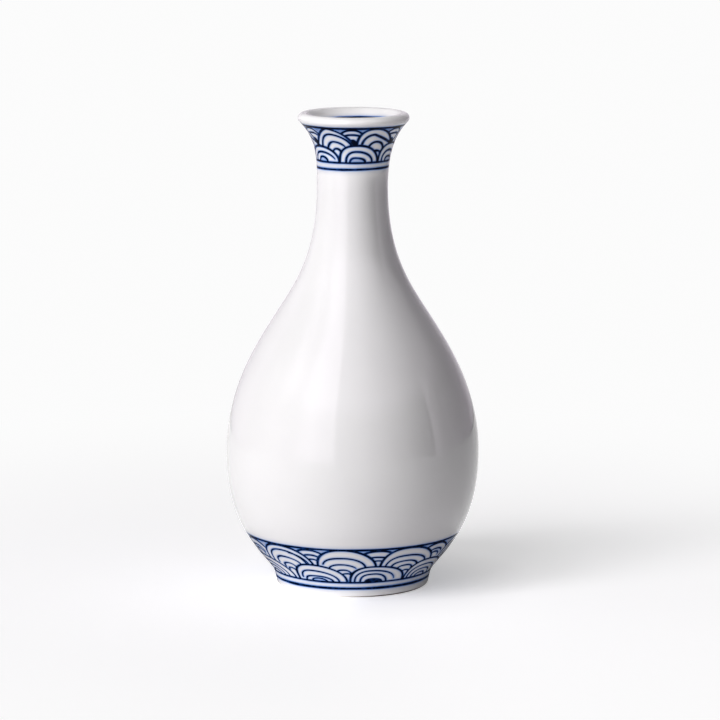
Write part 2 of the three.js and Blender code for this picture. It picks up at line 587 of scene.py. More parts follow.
class Canvas:
    """The skin of a turned piece, unrolled for the painter.

    It keeps two numbers for each vertex: ink, the distance in metres to the nearest stroke's edge,
    which is less than nothing inside the stroke, and wash, how much thin blue lies there.
    """

    def __init__(self, piece: bpy.types.Object, wall: Wall, faces_out: bool, seed: int) -> None:
        """Unrolls one skin of a piece.

        Args:
            piece: the turned piece.
            wall: the skin's outline.
            faces_out: the skin looks away from the axis, and otherwise towards it.
            seed: the start of the hand's random wobble.
        """
        self.mesh = piece.data
        self.wall = wall
        looks_out = read_headings(self.mesh)[:, 0] > 0
        self.members = np.flatnonzero(looks_out == faces_out)
        x, y, self.height = read(self.mesh.vertices, "co", 3)[self.members].T
        self.azimuth = np.degrees(np.arctan2(x, -y))
        self.along = wall.length_at(self.height)
        self.per_degree = np.radians(np.hypot(x, y))
        self.ink = np.full(len(self.members), FAR_FROM_INK)
        self.wash = np.zeros(len(self.members))
        self.random = np.random.default_rng(seed)

    def turned_from(self, middle: float) -> np.ndarray:
        """The azimuths of the skin's points from a given one, from -180 to 180 degrees."""
        return (self.azimuth - middle + 180) % 360 - 180

    def sway(self, count: int, size: float) -> np.ndarray:
        """A slow wobble of the hand.

        Args:
            count: how many points it is wanted at.
            size: its largest size.

        Returns:
            The wobble at each point.
        """
        share = np.linspace(0, 1, count)
        turns, starts = self.random.uniform(*WOBBLE_TURNS, 2), self.random.uniform(0, 1, 2)
        waves = [np.sin(2 * math.pi * (turn * share + start)) for turn, start in zip(turns, starts)]
        return size * (waves[0] + waves[1]) / 2

    def lay(self, stroke: Stroke, width: float, middle: float, open_to: np.ndarray) -> None:
        """Lays one stroke on the skin, and fills its half oval where the painter did.

        Args:
            stroke: the stroke.
            width: how wide the brush draws it.
            middle: the azimuth of the middle of its wave's field.
            open_to: the points that the stroke may touch.
        """
        path = stroke.path()
        azimuths, heights = path.T
        lengths = self.wall.length_at(heights) + self.sway(len(path), STROKE_WOBBLE)
        share = np.linspace(-1, 1, len(path))
        half_widths = width / 2 * (1 + self.sway(len(path), WIDTH_WOBBLE))
        if stroke.stop < 1:
            half_widths *= 1 - TAPER * np.clip(share, 0, 1) ** 3
        turned = self.turned_from(middle)
        margin = STROKE_REACH * width
        near = open_to & (self.along > lengths.min() - margin) & (self.along < lengths.max() + margin)
        spare = margin / self.per_degree
        near &= (turned > azimuths.min() - spare) & (turned < azimuths.max() + spare)
        chosen = np.flatnonzero(near)
        scale = self.per_degree[chosen, None]
        x = (azimuths[None, :] - turned[chosen, None]) * scale
        y = lengths[None, :] - self.along[chosen, None]
        step_x, step_y = np.diff(x, axis=1), np.diff(y, axis=1)
        size = np.maximum(step_x**2 + step_y**2, SAME_PLACE**2)
        reach = np.clip(-(x[:, :-1] * step_x + y[:, :-1] * step_y) / size, 0, 1)
        apart = np.hypot(x[:, :-1] + reach * step_x, y[:, :-1] + reach * step_y)
        edge = half_widths[:-1] + reach * np.diff(half_widths)
        self.ink[chosen] = np.minimum(self.ink[chosen], (apart - edge).min(axis=1))
        inside = chosen[stroke.holds(turned[chosen], self.height[chosen])]
        if stroke.fill is Fill.INK:
            self.ink[inside] = np.minimum(self.ink[inside], -width / 2)
        elif stroke.fill is Fill.WASH:
            self.wash[inside] = 1.0

    def paint_rows(self, rows: tuple[Row, ...], low: float, high: float, brush: Brush) -> None:
        """Paints rows of waves, each hidden where the rows in front of it stand.

        Args:
            rows: the rows, the front one first.
            low: the height of the line that they stand on, in millimetres.
            high: the height of the line above them, in millimetres.
            brush: what they are painted with.
        """
        band = (self.height > low * MM) & (self.height < high * MM)
        hidden = np.zeros(len(self.members), dtype=bool)
        for row in rows:
            taken = np.zeros(len(self.members), dtype=bool)
            for k, middle in enumerate(row.middles):
                outline, *inner = row.forms[k % len(row.forms)]
                self.lay(outline, brush.outline, middle, band & ~hidden)
                for stroke in inner:
                    self.lay(stroke, brush.inner * stroke.weight, middle, band & ~hidden)
                taken |= outline.holds(self.turned_from(middle), self.height)
            hidden |= taken
        self.wash *= brush.washed_blue
        self.wash[band & ~hidden] = brush.corner_blue

    def paint_ring(self, ring: Ring) -> None:
        """Paints one line all round.

        Args:
            ring: the line.
        """
        turned = np.radians(self.turned_from(ring.highest_at))
        heights = (ring.height + ring.drift * np.cos(turned)) * MM
        tremble = sum(share * np.sin(count * turned + start) for share, count, start in RING_TREMBLES)
        half_widths = ring.width * (1 + tremble) / 2
        above = self.along - self.wall.length_at(heights)
        self.ink = np.minimum(self.ink, np.abs(above) - half_widths)
        run_out = np.clip((half_widths + RING_BLEED - above) / RING_BLEED, 0, 1)
        self.wash = np.maximum(self.wash, ring.blue * np.where(above > 0, run_out, 0))

    def tint(self, low: float, high: float, blue: float) -> None:
        """Lays a veil of thin blue between two heights in millimetres, as strong as its blue."""
        between = (self.height > low * MM) & (self.height < high * MM)
        self.wash[between] = np.maximum(self.wash[between], blue)

    def keep(self) -> None:
        """Writes the painting to the mesh's attributes, in millimetres for the ink."""
        for name, values in (("ink", self.ink / MM), ("wash", self.wash)):
            layer = self.mesh.attributes.get(name)
            if layer is None:
                layer = self.mesh.attributes.new(name, "FLOAT", "POINT")
                blank = FAR_FROM_INK / MM if name == "ink" else 0.0
                layer.data.foreach_set("value", np.full(len(self.mesh.vertices), blank))
            kept = read(layer.data, "value")
            kept[self.members] = values
            layer.data.foreach_set("value", kept)


# Waves of the band at the base, listed one by one
BASE_FRONT = (
    (
        Stroke(-19.0, -3.5, 19.5, 5.1, 11.1),
        Stroke(-16.0, -4.5, 12.5, 5.1, 9.6, stop=0.93),
        Stroke(-12.2, -4.0, 6.5, 5.1, 8.3),
        Stroke(-8.7, -3.0, 3.3, 5.1, 6.5, fill=Fill.INK),
    ),
    (
        Stroke(-19.5, -5.5, 19.0, 5.1, 11.5),
        Stroke(-16.5, -4.5, 12.5, 5.1, 9.5),
        Stroke(-12.5, -3.5, 7.5, 5.1, 7.9),
        Stroke(-8.5, -3.0, 2.5, 5.1, 6.5),
    ),
    (
        Stroke(-17.3, -2.5, 18.9, 5.1, 11.3),
        Stroke(-13.7, -3.5, 13.5, 5.1, 9.1, start=0.06),
        Stroke(-11.1, -2.5, 9.5, 5.1, 7.1),
        Stroke(-6.3, -1.5, 5.0, 5.1, 6.3, fill=Fill.WASH),
    ),
)
BASE_MIDDLE = (
    (
        Stroke(-18.3, -2.5, 17.0, 9.6, 17.25),
        Stroke(-15.3, -2.5, 10.5, 10.3, 14.4, start=0.1),
        Stroke(-11.5, -3.5, 5.1, 10.0, 12.0, start=0.05, stop=0.9),
        Stroke(-7.5, -3.0, 1.9, 8.3, 10.0),
        Stroke(-4.0, -1.0, 2.0, 7.6, 8.6),
    ),
    (
        Stroke(-21.0, -5.5, 16.0, 9.6, 17.2),
        Stroke(-17.5, -4.5, 11.0, 10.3, 14.4),
        Stroke(-13.5, -4.5, 5.0, 10.2, 12.4),
        Stroke(-8.7, -3.0, 2.0, 9.4, 10.75),
        Stroke(-4.0, -1.5, 1.0, 8.2, 8.8),
    ),
    (
        Stroke(-15.5, 0.5, 19.5, 9.6, 17.25),
        Stroke(-11.5, 0.0, 15.0, 10.3, 15.5),
        Stroke(-7.5, 2.5, 16.5, 10.3, 15.1, start=0.56),
        Stroke(-7.5, 0.0, 10.5, 10.6, 13.1),
        Stroke(-4.0, 1.0, 5.5, 9.2, 10.9),
        Stroke(-2.0, 0.5, 3.0, 8.4, 9.1),
    ),
)
BASE_BACK = (
    (
        Stroke(-14.5, -3.5, 9.5, 12.0, 16.9),
        Stroke(-10.0, -3.5, 4.0, 13.2, 14.7),
        Stroke(-8.0, -3.5, 2.0, 12.3, 13.3),
    ),
    (
        Stroke(-15.5, -4.5, 8.5, 12.0, 16.95),
        Stroke(-10.0, -4.0, 2.5, 13.2, 14.95),
        Stroke(-8.0, -4.0, 1.0, 12.3, 13.8),
    ),
    (
        Stroke(-11.5, -1.5, 9.5, 12.0, 16.9),
        Stroke(-7.5, -0.5, 5.5, 13.0, 15.1),
        Stroke(-5.5, -0.5, 3.5, 12.3, 13.5),
    ),
)
BASE_ROWS = (Row(9, 17.5, BASE_FRONT), Row(9, -2.5, BASE_MIDDLE), Row(9, 17.5, BASE_BACK))
BASE_BAND_LOW = 5.1
BASE_BAND_HIGH = 17.4
BASE_BRUSH = Brush(outline=0.73 * MM, inner=0.59 * MM, washed_blue=0.5, corner_blue=0.55)
BASE_RINGS = (
    Ring(BASE_BAND_LOW, 0.72 * MM, 0.05, 40),
    Ring(BASE_BAND_HIGH, 0.78 * MM),
)
FOOT_RING_LINE = Ring(2.8, 0.8 * MM, 0.25, 15, blue=0.75)
BETWEEN_LINES_BLUE = 0.13

# Waves of the band at the collar, listed one by one
COLLAR_FRONT = (
    (
        Stroke(-30.5, -4.75, 30.0, 135.5, 141.0),
        Stroke(-20.5, -4.75, 20.2, 135.6, 138.95),
        Stroke(-14.7, -3.75, 9.2, 135.5, 137.0, fill=Fill.WASH),
    ),
    (
        Stroke(-28.5, -4.75, 29.3, 135.5, 141.2),
        Stroke(-21.2, -3.7, 18.3, 135.5, 138.9),
        Stroke(-12.7, -3.75, 8.2, 135.5, 137.0, fill=Fill.WASH),
    ),
    (
        Stroke(-29.7, -3.75, 28.9, 135.5, 140.3),
        Stroke(-19.7, -2.75, 23.2, 135.5, 138.5, stop=0.89),
        Stroke(-10.2, -1.75, 8.2, 135.4, 137.0, fill=Fill.WASH),
    ),
)
COLLAR_MIDDLE = (
    (
        Stroke(-31.25, -5.25, 31.75, 139.0, 146.35, 1.5, 1.6),
        Stroke(-20.75, -2.25, 28.75, 139.0, 144.55, 2.0, 1.7),
        Stroke(-11.75, 0.75, 19.75, 138.5, 142.1, 2.0, 2.0, stop=0.82),
        Stroke(-3.25, 3.75, 10.75, 138.0, 139.85),
    ),
    (
        Stroke(-28.25, -6.25, 29.75, 139.0, 146.3, 2.5, 1.85),
        Stroke(-21.25, -5.25, 33.75, 140.5, 144.45, 2.0, 1.05, start=0.1, weight=1.2),
        Stroke(-12.25, -0.25, 14.25, 139.0, 142.1, 2.0, 2.0, weight=1.1),
        Stroke(-6.25, 1.75, 9.75, 138.3, 139.2),
    ),
)
COLLAR_BACK = (
    (
        Stroke(-20.0, -1.0, 18.0, 140.0, 146.1),
        Stroke(-15.0, -1.0, 13.0, 142.6, 144.55),
        Stroke(-9.0, -1.0, 7.0, 138.0, 142.75, fill=Fill.INK),
    ),
)
COLLAR_ROWS = (
    Row(6, 9.75, COLLAR_FRONT),
    Row(6, -27.75, COLLAR_MIDDLE),
    Row(6, 0.0, COLLAR_BACK),
)
COLLAR_BAND_LOW = 135.4
COLLAR_BAND_HIGH = 146.5
COLLAR_BRUSH = Brush(outline=0.72 * MM, inner=0.66 * MM, washed_blue=0.55, corner_blue=0.9)
COLLAR_RINGS = (
    Ring(133.15, 0.66 * MM, 0.2, 45, blue=0.6),
    Ring(COLLAR_BAND_LOW, 0.62 * MM),
    Ring(COLLAR_BAND_HIGH, 1.0 * MM, 0.1, -10),
)
THROAT_RING = Ring(146.95, 0.9 * MM, 0.3, 100, blue=0.6)


# Surface patterns, from real sizes
GLAZE_CLOUD_SIZE = 22 * MM
GLAZE_RIPPLE_SIZE = 9 * MM
GLAZE_RIPPLE_DEPTH = 0.012 * MM
GLAZE_PEEL_SIZE = 2.2 * MM
GLAZE_PEEL_DEPTH = 0.0012 * MM
SPECK_SPACING = 13 * MM
SPECK_RADIUS = 0.17 * MM
SPECK_FADES_OVER = 1.8
CLAY_GRAIN_SIZE = 0.35 * MM
CLAY_GRAIN_DEPTH = 0.02 * MM
BRUSH_GRAIN_SIZE = 1.6 * MM
GLAZE_LINE_HEIGHT = 0.5 * MM
GLAZE_LINE_WAVER = 0.12 * MM
GLAZE_LINE_BLUR = 0.4 * GLAZE_LINE_WAVER

# A ramp is the value at which it starts and the one at which it ends, and the amount at each
Ramp = tuple[float, float, float, float]

# What makes a ramp start and end gently
SOFT = {"interpolation_type": "SMOOTHSTEP"}


def linear(code: str) -> tuple[float, float, float, float]:
    """Turns an sRGB colour into Blender's linear one.

    Args:
        code: six hexadecimal digits.

    Returns:
        The linear colour, fully opaque.
    """
    shares = [int(code[i : i + 2], 16) / 255 for i in (0, 2, 4)]
    parts = [s / 12.92 if s <= 0.04045 else ((s + 0.055) / 1.055) ** 2.4 for s in shares]
    return (*parts, 1.0)


@dataclass(frozen=True)
class Nodes:
    """The nodes of a material or of the world."""

    tree: bpy.types.NodeTree

    @classmethod
    def of(cls, owner: bpy.types.Material | bpy.types.World) -> "Nodes":
        """Empties the nodes of a new material or world, and takes them.

        Args:
            owner: the material or world.

        Returns:
            Its nodes.
        """
        owner.use_nodes = True
        owner.node_tree.nodes.clear()
        return cls(owner.node_tree)

    def add(self, kind: str, *inputs: Value, **named: Value | str) -> bpy.types.NodeOutputs:
        """Adds one node, sets it, and links sockets or writes values to its inputs.

        Args:
            kind: the node's type, less the word ShaderNode.
            inputs: what goes into the node's open inputs, in their order.
            named: the node's own properties, and inputs by their names, which have capitals.

        Returns:
            The node's outputs.
        """
        node = self.tree.nodes.new(f"ShaderNode{kind}")
        for name, value in named.items():
            if name.islower():
                setattr(node, name, value)
        open_inputs = [socket for socket in node.inputs if socket.enabled]
        by_name = [(node.inputs[name], value) for name, value in named.items() if not name.islower()]
        for socket, value in [*zip(open_inputs, inputs), *by_name]:
            if isinstance(value, Socket):
                self.tree.links.new(value, socket)
            else:
                socket.default_value = value
        return node.outputs


@dataclass(frozen=True)
class Porcelain:
    """White porcelain under a clear gloss glaze, cast and fired at 1300 degrees.

    It gives the eye a faintly cool white with soft clouds, a mirror-like skin that ripples over a
    centimetre, a little orange peel, and now and then a pinhead speck of iron.
    """

    ground: str = "f0efef"
    cloud: str = "e9e7e8"
    speck: str = "8c7a6a"
    speck_strength: float = 0.75
    roughness: float = 0.055
    ior: float = 1.5
    glaze_gloss: float = 0.5

    def material(self, name: str) -> bpy.types.Material:
        """Makes the glazed porcelain.

        Args:
            name: the material's name.

        Returns:
            The material.
        """
        material = bpy.data.materials.new(name)
        nodes = Nodes.of(material)
        place = nodes.add("TexCoord")["Object"]
        skin = {
            "Base Color": self.painted(nodes, place, self.colour(nodes, place)),
            "Roughness": self.roughness,
            "IOR": self.ior,
            "Specular IOR Level": self.gloss(nodes),
            "Normal": self.relief(nodes, place),
        }
        glazed = nodes.add("BsdfPrincipled", **skin)["BSDF"]
        nodes.add("OutputMaterial", self.finished(nodes, place, glazed))
        return material

    def colour(self, nodes: Nodes, place: Socket) -> Socket:
        """The colour of the unpainted porcelain.

        Args:
            nodes: the material's nodes.
            place: the Object coordinates.

        Returns:
            The colour's socket.
        """
        clouds = nodes.add("TexNoise", place, Scale=1 / GLAZE_CLOUD_SIZE)["Fac"]
        whites = (linear(self.ground), linear(self.cloud))
        body = nodes.add("Mix", clouds, *whites, data_type="RGBA")["Result"]
        from_speck = nodes.add("TexVoronoi", place, Scale=1 / SPECK_SPACING)["Distance"]
        radius = SPECK_RADIUS / SPECK_SPACING
        fade = (radius, SPECK_FADES_OVER * radius, self.speck_strength, 0.0)
        spot = nodes.add("MapRange", from_speck, *fade)["Result"]
        return nodes.add("Mix", spot, body, linear(self.speck), data_type="RGBA")["Result"]

    def relief(self, nodes: Nodes, place: Socket) -> Socket:
        """The glaze's ripples and orange peel.

        Args:
            nodes: the material's nodes.
            place: the Object coordinates.

        Returns:
            The bent surface direction's socket.
        """
        ripples = nodes.add("TexNoise", place, Scale=1 / GLAZE_RIPPLE_SIZE, Detail=1.0)["Fac"]
        rippled = nodes.add("Bump", Height=ripples, Distance=GLAZE_RIPPLE_DEPTH)["Normal"]
        peel = nodes.add("TexNoise", place, Scale=1 / GLAZE_PEEL_SIZE, Detail=1.0)["Fac"]
        return nodes.add("Bump", Height=peel, Distance=GLAZE_PEEL_DEPTH, Normal=rippled)["Normal"]

    def painted(self, nodes: Nodes, place: Socket, ground: Socket) -> Socket:
        """The colour with any painting on it; plain porcelain has none."""
        return ground

    def gloss(self, nodes: Nodes) -> Socket | float:
        """How strongly the skin mirrors the room."""
        return self.glaze_gloss

    def finished(self, nodes: Nodes, place: Socket, glazed: Socket) -> Socket:
        """The whole surface; only the foot leaves clay bare."""
        return glazed


@dataclass(frozen=True)
class PaintedPorcelain(Porcelain):
    """Porcelain painted with cobalt before glazing.

    The strokes are near-black navy where the brush left much pigment and plain blue where it ran
    thin. The glaze draws a little of it out, so each stroke has a vivid blue edge and a pale blue
    veil round it, and thick pigment takes most of the glaze's shine.

    The ramps of the wash's grain and of thinning read the brush's grain, that of the wash reads how
    much of it lies there, and the others read the millimetres from a stroke's edge.
    """

    deep: str = "020a1e"
    thin: str = "1c4890"
    bleed: str = "5a93dc"
    wash: str = "2e62ad"
    wash_grain: Ramp = (0.35, 0.65, 1.15, 0.7)
    thinning: Ramp = (0.5, 0.8, 0.0, 0.6)
    veil_ramp: Ramp = (0.0, 1.4, 0.28, 0.0)
    wash_ramp: Ramp = (0.0, 1.0, 0.0, 0.95)
    bleed_ramp: Ramp = (0.02, 0.42, 0.8, 0.0)
    edge_ramp: Ramp = (-0.03, 0.13, 1.0, 0.0)
    heart_ramp: Ramp = (-0.13, 0.01, 1.0, 0.0)
    gloss_ramp: Ramp = (-0.03, 0.2, 0.02, Porcelain.glaze_gloss)

    def painted(self, nodes: Nodes, place: Socket, ground: Socket) -> Socket:
        """Lays the veil, the wash, the strokes' bleeding edges and the strokes over the ground.

        Args:
            nodes: the material's nodes.
            place: the Object coordinates.
            ground: the unpainted colour.

        Returns:
            The painted colour's socket.
        """
        ink = nodes.add("Attribute", attribute_name="ink")["Fac"]
        wash = nodes.add("Attribute", attribute_name="wash")["Fac"]
        grain = nodes.add("TexNoise", place, Scale=1 / BRUSH_GRAIN_SIZE)["Fac"]
        uneven = nodes.add("MapRange", grain, *self.wash_grain)["Result"]
        blue = nodes.add("Math", wash, uneven, operation="MULTIPLY")["Value"]
        thinned = nodes.add("MapRange", grain, *self.thinning)["Result"]
        navies = (linear(self.deep), linear(self.thin))
        pigment = nodes.add("Mix", thinned, *navies, data_type="RGBA")["Result"]
        coats = (
            (ink, self.veil_ramp, linear(self.wash)),
            (blue, self.wash_ramp, linear(self.wash)),
            (ink, self.bleed_ramp, linear(self.bleed)),
            (ink, self.edge_ramp, linear(self.thin)),
            (ink, self.heart_ramp, pigment),
        )
        colour = ground
        for value, ramp, coat in coats:
            amount = nodes.add("MapRange", value, *ramp)["Result"]
            colour = nodes.add("Mix", amount, colour, coat, data_type="RGBA")["Result"]
        return colour

    def gloss(self, nodes: Nodes) -> Socket:
        """Dulls the skin over the strokes, and returns the gloss's socket."""
        ink = nodes.add("Attribute", attribute_name="ink")["Fac"]
        return nodes.add("MapRange", ink, *self.gloss_ramp)["Result"]


@dataclass(frozen=True)
class FootPorcelain(PaintedPorcelain):
    """The foot: painted and glazed, and wiped bare where it stands so that it can't stick in the kiln.

    The bare clay is matt, grainy and nearly white. Towards the shaded right side it turns a dark toasted
    brown, which stands partly for the clay's own toasting and partly for painted contact shadow where the
    foot meets the floor.
    """

    bare: str = "f2eeea"
    shadow_side_brown: str = "3f271b"
    shadow_side_from: float = -5 * MM
    shadow_side_to: float = 9 * MM
    shadow_brown_rise: float = 0.15 * MM
    bare_roughness: float = 0.85

    def finished(self, nodes: Nodes, place: Socket, glazed: Socket) -> Socket:
        """Leaves the clay bare below the wavering line where the glaze was wiped off, and paints it brown
        towards the shaded right side as contact shadow.

        Args:
            nodes: the material's nodes.
            place: the Object coordinates.
            glazed: the glazed porcelain.

        Returns:
            The whole surface.
        """
        part = nodes.add("SeparateXYZ", place)
        waver = nodes.add("TexNoise", place, Scale=1 / GLAZE_RIPPLE_SIZE)["Fac"]
        above = (waver, 2 * GLAZE_LINE_WAVER, part["Z"])
        height = nodes.add("Math", *above, operation="MULTIPLY_ADD")["Value"]
        # Painted contact shadow: the bare rim turns toasted brown only towards the shaded right side, fading
        # in just above the floor.
        on_shaded_side = nodes.add("MapRange", part["X"], self.shadow_side_from, self.shadow_side_to)["Result"]
        off_floor = nodes.add("MapRange", height, 0.0, self.shadow_brown_rise)["Result"]
        painted_contact_shadow = nodes.add("Math", off_floor, on_shaded_side, operation="MULTIPLY")["Value"]
        bare_and_shadow_brown = (linear(self.bare), linear(self.shadow_side_brown))
        grain = nodes.add("TexNoise", place, Scale=1 / CLAY_GRAIN_SIZE)["Fac"]
        skin = {
            "Base Color": nodes.add("Mix", painted_contact_shadow, *bare_and_shadow_brown, data_type="RGBA")["Result"],
            "Roughness": self.bare_roughness,
            "Normal": nodes.add("Bump", Height=grain, Distance=CLAY_GRAIN_DEPTH)["Normal"],
        }
        clay = nodes.add("BsdfPrincipled", **skin)["BSDF"]
        edge = GLAZE_LINE_HEIGHT + GLAZE_LINE_WAVER
        covered = nodes.add("MapRange", height, edge - GLAZE_LINE_BLUR, edge + GLAZE_LINE_BLUR)["Result"]
        return nodes.add("MixShader", covered, clay, glazed)["Shader"]


def dress(piece: bpy.types.Object, finish: bpy.types.Material, slot: Slot, *nodes: str) -> None:
    """Gives a piece its finish, and hides the CAD sections that it stands for.

    Args:
        piece: the piece.
        finish: its material.
        slot: the record's material slot; not used.
        nodes: the CAD nodes that it replaces.
    """
    piece.data.attributes.remove(piece.data.attributes["heading"])
    piece.data.materials.append(finish)
    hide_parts(*nodes)


@dataclass(frozen=True)
class Section:
    """One luted section of the bottle."""

    body: Body

    def build(self) -> bpy.types.Object:
        """Models the section, dresses it and returns the piece."""
        raise NotImplementedError


@dataclass(frozen=True)
class FootRing(Section):
    """The low ring that the bottle stands on, with one painted line and a bare rim."""

    seed: int = 11

    def build(self) -> bpy.types.Object:
        """Models the ring, paints its line and dresses it.

        Returns:
            The piece.
        """
        body = self.body
        top = body.foot_seam.height
        edge = (FOOT_EDGE_RADIUS, EDGE_STEP)
        outside = body.outer.rows(0, edge, (top, PAINTED_STEP))
        inside = body.under.rows(0, edge, (top, OUTER_STEP))[::-1]
        rows = np.concatenate([outside, inside])
        piece = turn("foot_ring_glazed", rows, PAINTED_TURN_STEPS, closed=True)
        canvas = Canvas(piece, body.outer, faces_out=True, seed=self.seed)
        canvas.paint_ring(FOOT_RING_LINE)
        canvas.tint(FOOT_RING_LINE.height, BASE_BAND_LOW, BETWEEN_LINES_BLUE)
        canvas.keep()
        dress(piece, FootPorcelain().material("foot_porcelain_wiped_rim"), Slot.FOOT, "foot_ring")
        return piece


@dataclass(frozen=True)
class Bowl(Section):
    """The lower half of the belly, with the wave band at the base, the floor and the recess."""

    seed: int = 7
    plain_from: float = 18.6 * MM

    def recess_rows(self, ceiling: float) -> np.ndarray:
        """The recess under the floor, from the axis to its rounded corner at the foot's seam.

        Args:
            ceiling: the recess's height.

        Returns:
            Rows of radius, height and the two components of the surface's direction.
        """
        seam = self.body.foot_seam
        centre = np.array([seam.inside - RECESS_DEPTH, seam.height])
        cove = Wall.through(arc(centre, (RECESS_DEPTH, RECESS_DEPTH), 0, 90), faces_out=False)
        corner = cove.rows(seam.height, (ceiling, EDGE_STEP))[::-1]
        return np.concatenate([level(0, centre[0], ceiling, looks_up=False)[:-1], corner])

    def build(self) -> bpy.types.Object:
        """Models the bowl, paints its band and dresses it.

        Returns:
            The piece.
        """
        body = self.body
        low, high = body.foot_seam.height, body.belly_seam.height
        rows = np.concatenate(
            [
                self.recess_rows(low + RECESS_DEPTH),
                body.outer.rows(low, (self.plain_from, PAINTED_STEP), (high, OUTER_STEP)),
                body.inner.rows(body.floor, (high, INNER_STEP))[::-1],
                level(body.inner.points[0, 0], 0, body.floor, looks_up=True)[1:],
            ]
        )
        piece = turn("bowl_painted", rows, PAINTED_TURN_STEPS, closed=False)
        canvas = Canvas(piece, body.outer, faces_out=True, seed=self.seed)
        canvas.paint_rows(BASE_ROWS, BASE_BAND_LOW, BASE_BAND_HIGH, BASE_BRUSH)
        canvas.tint(FOOT_RING_LINE.height, BASE_BAND_LOW, BETWEEN_LINES_BLUE)
        for ring in BASE_RINGS:
            canvas.paint_ring(ring)
        canvas.keep()
        finish = PaintedPorcelain().material("glazed_porcelain_base_waves")
        dress(piece, finish, Slot.GLAZED, "bowl")
        return piece


@dataclass(frozen=True)
class PlainSection(Section):
    """A section without painting: the belly's upper half, or the neck."""

    node: str
    low: Seam
    high: Seam

    def build(self) -> bpy.types.Object:
        """Models the section and dresses it.

        Returns:
            The piece.
        """
        low, high = self.low.height, self.high.height
        outside = self.body.outer.rows(low, (high, OUTER_STEP))
        inside = self.body.inner.rows(low, (high, INNER_STEP))[::-1]
        rows = np.concatenate([outside, inside])
        piece = turn(f"{self.node}_glazed", rows, PLAIN_TURN_STEPS, closed=True)
        dress(piece, Porcelain().material(f"glazed_porcelain_{self.node}"), Slot.GLAZED, self.node)
        return piece


@dataclass(frozen=True)
class Mouth(Section):
    """The flared mouth, with the wave band at the collar, the rolled lip and the line inside it."""

    seed: int = 23
    painted_from: float = 131.8 * MM
    painted_to: float = 147.3 * MM
    throat_painted_from: float = 144.0 * MM
    aside: float = 0.38 * MM
    aside_from: float = 143.0 * MM

    def push_aside(self, piece: bpy.types.Object) -> None:
        """Moves the mouth a little to the right of the axis, where the potter's hands left it.

        Args:
            piece: the mouth, whose seam with the neck stays where it is.
        """
        places = read(piece.data.vertices, "co", 3)
        seam = self.body.neck_seam.height
        share = np.clip((places[:, 2] - seam) / (self.aside_from - seam), 0, 1)
        places[:, 0] += self.aside * share**2 * (3 - 2 * share)
        piece.data.vertices.foreach_set("co", places.ravel())
        piece.data.update()

    def build(self) -> bpy.types.Object:
        """Models the mouth, paints its band and its inner line and dresses it.

        Returns:
            The piece.
        """
        body = self.body
        seam = body.neck_seam.height
        plain, painted = (self.painted_from, OUTER_STEP), (self.painted_to, PAINTED_STEP)
        lip = (body.top, LIP_STEP)
        outside = body.outer.rows(seam, plain, painted, lip)[:-1]
        inside = body.inner.rows(seam, (self.throat_painted_from, INNER_STEP), lip)[::-1]
        rows = np.concatenate([outside, inside])
        piece = turn("mouth_painted", rows, COLLAR_TURN_STEPS, closed=True)
        collar = Canvas(piece, body.outer, faces_out=True, seed=self.seed)
        collar.paint_rows(COLLAR_ROWS, COLLAR_BAND_LOW, COLLAR_BAND_HIGH, COLLAR_BRUSH)
        collar.tint(COLLAR_RINGS[0].height, COLLAR_BAND_LOW, BETWEEN_LINES_BLUE)
        for ring in COLLAR_RINGS:
            collar.paint_ring(ring)
        collar.keep()
        throat = Canvas(piece, body.inner, faces_out=False, seed=self.seed)
        throat.paint_ring(THROAT_RING)
        throat.keep()
        self.push_aside(piece)
        finish = PaintedPorcelain().material("glazed_porcelain_collar_waves")
        dress(piece, finish, Slot.GLAZED, "mouth")
        return piece


# Camera, as far off and as high as the picture of the bottle was taken from
CAMERA_PLACE = (0.00236, -1.250, 0.287)
CAMERA_PITCH = 9.786
CAMERA_LENS = 200.7
SENSOR_WIDTH = 36.0


def hang(
    light: bpy.types.Light, height: float, azimuth: float, elevation: float, distance: float
) -> bpy.types.Object:
    """Hangs a light that looks at the bottle's axis, and that neither the camera nor the glaze sees.

    Args:
        light: the light.
        height: the height at which it looks.
        azimuth: where it hangs, in radians to the right of the camera.
        elevation: how far it hangs above that height, as an angle in radians.
        distance: how far off it is.

    Returns:
        The light's object.
    """
    lamp = bpy.data.objects.new(light.name, light)
    lamp.visible_camera = False
    lamp.visible_glossy = False
    across = distance * math.cos(elevation)
    rise = distance * math.sin(elevation)
    lamp.location = (across * math.sin(azimuth), -across * math.cos(azimuth), height + rise)
    lamp.rotation_euler = (math.radians(90) - elevation, 0, azimuth)
    bpy.context.scene.collection.objects.link(lamp)
    return lamp


@dataclass(frozen=True)
class Panel:
    """A soft upright panel of light, which fills a stretch of azimuth and height round the bottle."""

    name: str
    first_azimuth: float
    last_azimuth: float
    radiance: float
    bottom: float = -1.1
    top: float = 5.2
    distance: float = 3.0

    def light(self) -> None:
        """Hangs the panel as an area light."""
        azimuth = math.radians((self.first_azimuth + self.last_azimuth) / 2)
        spread = math.radians(abs(self.last_azimuth - self.first_azimuth) / 2)
        light = bpy.data.lights.new(self.name, "AREA")
        light.shape = "RECTANGLE"
        light.size = 2 * self.distance * math.tan(spread)
        light.size_y = self.top - self.bottom
        light.energy = self.radiance * math.pi * light.size * light.size_y
        hang(light, (self.bottom + self.top) / 2, azimuth, 0.0, self.distance)


